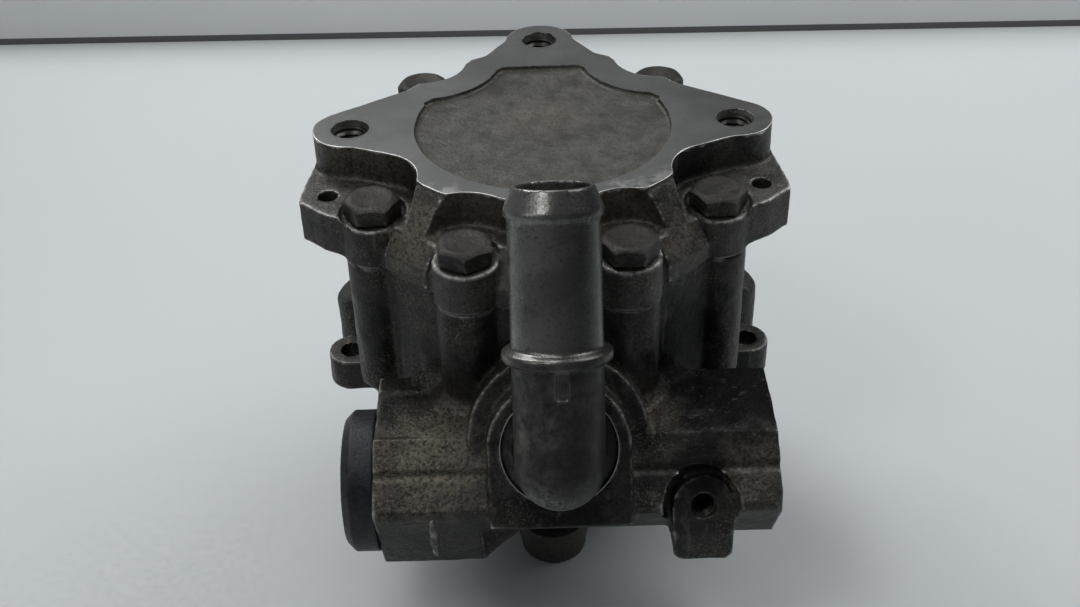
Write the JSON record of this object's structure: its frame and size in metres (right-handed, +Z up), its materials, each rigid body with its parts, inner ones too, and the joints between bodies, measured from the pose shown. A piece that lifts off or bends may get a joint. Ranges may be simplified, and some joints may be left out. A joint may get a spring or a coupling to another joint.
{
  "type": "power steering pump",
  "caption": "Hydraulic vane pump for power steering: cast housing with flow-valve block, bolted rear cover with tapped lugs, angled suction pipe and three-armed pulley hub.",
  "frame": {"origin": "centre of the pulley hub's lower face, on the shaft axis", "axes": "+Z up the shaft to the rear cover, -Y to the suction port, +X along the valve bore to the outlet"},
  "size_m": [0.0968, 0.1191, 0.1098],
  "materials": {
    "cast_housing": "dark oily cast aluminium",
    "cast_cover": "cast aluminium with machined plateau",
    "pipe_alloy": "satin turned aluminium above the collar, cast below",
    "dark_plug": "black phosphated steel",
    "bolt_steel": "dark oxidised steel",
    "hub_steel": "dull forged steel",
    "bright_steel": "ground steel",
    "sintered_plate": "sintered iron",
    "bearing_brass": "bronze and brass",
    "seal_rubber": "oil-proof rubber"
  },
  "bodies": {
    "housing": {"pump_housing": "cast_housing", "rear_cover": "cast_cover", "cover_bolts": "bolt_steel", "cover_seal": "seal_rubber", "suction_pipe": "pipe_alloy", "suction_pipe_seal": "seal_rubber", "valve_plug": "dark_plug", "plug_seal": "seal_rubber", "flow_valve_spring": "bright_steel", "cam_ring": "bright_steel", "front_pressure_plate": "sintered_plate", "rear_side_plate": "sintered_plate", "plate_seal": "seal_rubber", "dowel_pins": "bright_steel", "shaft_seal": "seal_rubber", "bearing_outer_ring": "bright_steel", "bearing_circlip": "bright_steel", "rear_bush": "bearing_brass"},
    "rotor_group": {"drive_shaft": "bright_steel", "drive_hub": "hub_steel", "rotor": "bright_steel", "vanes": "bright_steel", "rotor_snap_ring": "bright_steel", "bearing_inner_ring": "bright_steel"},
    "ball_cage": {"bearing_cage": "bearing_brass", "bearing_balls": "bright_steel"},
    "spool": {"flow_valve_spool": "bright_steel", "relief_seat": "bearing_brass", "relief_spring": "bright_steel"},
    "relief": {"relief_ball": "bright_steel"}
  },
  "joints": [
    {"name": "shaft_spin", "type": "hinge", "parent": "housing", "child": "rotor_group", "pos_m": [0, 0, 0], "axis": [0, 0, 1], "continuous": true},
    {"name": "cage_spin", "type": "hinge", "parent": "housing", "child": "ball_cage", "pos_m": [0, 0, 0], "axis": [0, 0, 1], "continuous": true},
    {"name": "spool_slide", "type": "slide", "parent": "housing", "child": "spool", "axis": [-1, 0, 0], "range_m": [0, 0.008], "stiffness_N_per_m": 500, "springref_m": -0.004, "deforming": ["flow_valve_spring"]},
    {"name": "relief_lift", "type": "slide", "parent": "spool", "child": "relief", "axis": [-1, 0, 0], "range_m": [0, 0.001], "stiffness_N_per_m": 40, "springref_m": -0.001, "deforming": ["relief_spring"]}
  ],
  "couplings": [
    {"joint": "cage_spin", "follows": "shaft_spin", "ratio": 0.3807}
  ]
}
